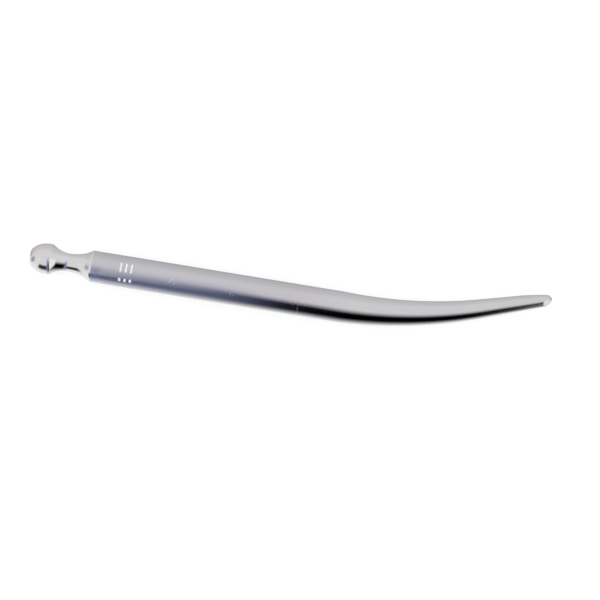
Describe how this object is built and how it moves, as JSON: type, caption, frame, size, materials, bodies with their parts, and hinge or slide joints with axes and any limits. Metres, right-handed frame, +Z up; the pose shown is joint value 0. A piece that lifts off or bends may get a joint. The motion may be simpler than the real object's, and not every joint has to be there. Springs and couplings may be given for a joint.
{
  "type": "dental elevator",
  "caption": "Slim steel hand instrument: round hollow handle with a waisted ball knob at one end and a gently curved shank tapering to a rounded tip with a small flat.",
  "frame": {"origin": "on the resting surface, under the middle of the instrument's plan", "axes": "+X along the handle from the knob to the tip, +Y the side the tip curves to, +Z up"},
  "size_m": [0.1562, 0.0183, 0.0095],
  "materials": {
    "satin_steel": "satin, fine glass-beaded stainless steel with a faint cool tint",
    "polished_steel": "mirror-polished stainless steel",
    "shank_steel": "satin by the sleeve, running out to a bright polish along the bend and the tip",
    "silver_braze": "flush silver brazing filler, slightly duller and warmer than the steel"
  },
  "bodies": {
    "root": {"end_knob": "polished_steel", "rear_braze_ring": "silver_braze", "handle_sleeve": "satin_steel", "front_braze_ring": "silver_braze", "working_end": "shank_steel"}
  },
  "joints": []
}
